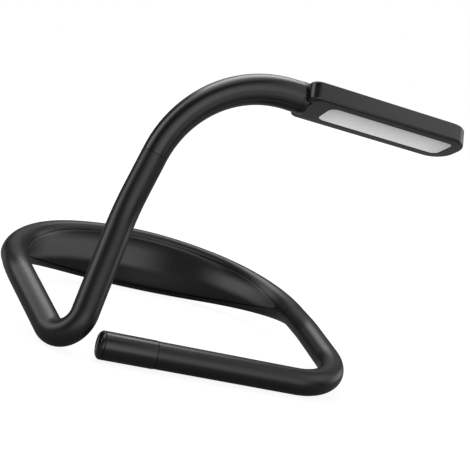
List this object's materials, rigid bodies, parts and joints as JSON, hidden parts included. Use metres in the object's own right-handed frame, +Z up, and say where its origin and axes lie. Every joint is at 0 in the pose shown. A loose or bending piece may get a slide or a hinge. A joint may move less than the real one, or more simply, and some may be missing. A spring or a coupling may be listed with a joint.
{
  "type": "neck-worn flexible reading light",
  "caption": "Black reading light worn round the neck: padded U band, two bendable arms, one ending in a long flat light head and one in a charging pod, bent to stand on a table.",
  "frame": {"origin": "the middle of the bounding box's bottom, on the table that the light stands on", "axes": "+X along the light head, from its swivel to its free end; +Y from the arms' bends towards the neck band's back; +Z up from the table"},
  "size_m": [0.2294, 0.1604, 0.158],
  "materials": {
    "silicone": "matte",
    "pad": "matte",
    "casing": "satin",
    "diffuser": "satin",
    "reflector": "satin",
    "steel": "satin",
    "spring": "satin",
    "cell": "satin",
    "board": "satin",
    "lead": "satin",
    "switch": "satin",
    "washer": "satin"
  },
  "bodies": {
    "band": {"band_shell": "silicone", "neck_pad": "pad", "spring_strip": "spring", "battery_cell": "cell", "control_board": "board", "left_band_ferrule": "steel", "right_band_ferrule": "steel", "left_sleeve_root": "silicone", "left_gooseneck_root": "spring", "right_sleeve_root": "silicone", "right_gooseneck_root": "spring"},
    "left_arm": {"left_sleeve_middle": "silicone", "left_gooseneck_middle": "spring", "left_sleeve_hairpin": "silicone", "left_gooseneck_hairpin": "spring", "light_lead": "lead"},
    "upper_arm": {"left_sleeve_top": "silicone", "left_gooseneck_top": "spring", "upper_ferrule": "steel", "upper_arm_shell": "casing", "upper_arm_cover": "casing", "arm_end_collar": "casing"},
    "head": {"swivel_pin": "steel", "slip_washer": "washer", "wave_washer": "spring", "pin_clip": "spring", "head_housing": "casing", "head_bezel": "casing", "diffuser": "diffuser", "reflector_frame": "reflector", "led_board": "board", "power_switch": "switch", "colour_switch": "switch"},
    "power_button": {"power_button": "pad"},
    "colour_button": {"colour_button": "pad"},
    "right_arm": {"right_sleeve_middle": "silicone", "right_gooseneck_middle": "spring", "right_sleeve_bend": "silicone", "right_gooseneck_bend": "spring", "charge_lead": "lead"},
    "pod": {"right_sleeve_front": "silicone", "right_gooseneck_front": "spring", "pod_ferrule": "steel", "pod_shell": "casing", "end_cap": "casing", "charge_inlet": "steel", "charge_light": "diffuser", "charge_board": "board"}
  },
  "joints": [
    {"name": "left_root_bend", "type": "hinge", "parent": "band", "child": "left_arm", "pos_m": [-0.10626, -0.01214, 0.02349], "axis": [0.7168, 0.0028, 0.6973], "range_deg": [-25, 25], "deforming": ["left_sleeve_root", "left_gooseneck_root", "light_lead"]},
    {"name": "left_hairpin_bend", "type": "hinge", "parent": "left_arm", "child": "upper_arm", "pos_m": [-0.08321, -0.06117, 0.00949], "axis": [-0.7395, -0.4991, 0.4518], "range_deg": [-30, 8], "deforming": ["left_sleeve_hairpin", "left_gooseneck_hairpin", "light_lead"]},
    {"name": "head_swivel", "type": "hinge", "parent": "upper_arm", "child": "head", "pos_m": [0.01915, -0.02313, 0.14685], "axis": [0.9996, -0.0028, -0.0272], "range_deg": [-90, 90]},
    {"name": "power_press", "type": "slide", "parent": "head", "child": "power_button", "axis": [-0.0257, -0.4361, -0.8995], "range_m": [0, 0.00025], "stiffness_N_per_m": 500, "springref_m": -0.0003},
    {"name": "colour_press", "type": "slide", "parent": "head", "child": "colour_button", "axis": [-0.0257, -0.4361, -0.8995], "range_m": [0, 0.00025], "stiffness_N_per_m": 500, "springref_m": -0.0003},
    {"name": "right_root_bend", "type": "hinge", "parent": "band", "child": "right_arm", "pos_m": [0.06212, -0.0164, 0.01859], "axis": [0.7747, -0.0457, 0.6306], "range_deg": [-4, 25], "deforming": ["right_sleeve_root", "right_gooseneck_root", "charge_lead"]},
    {"name": "right_front_bend", "type": "hinge", "parent": "right_arm", "child": "pod", "pos_m": [0.05767, -0.06548, 0.00879], "axis": [0.0095, 0.1987, -0.98], "range_deg": [-60, 15], "deforming": ["right_sleeve_bend", "right_gooseneck_bend", "charge_lead"]}
  ]
}
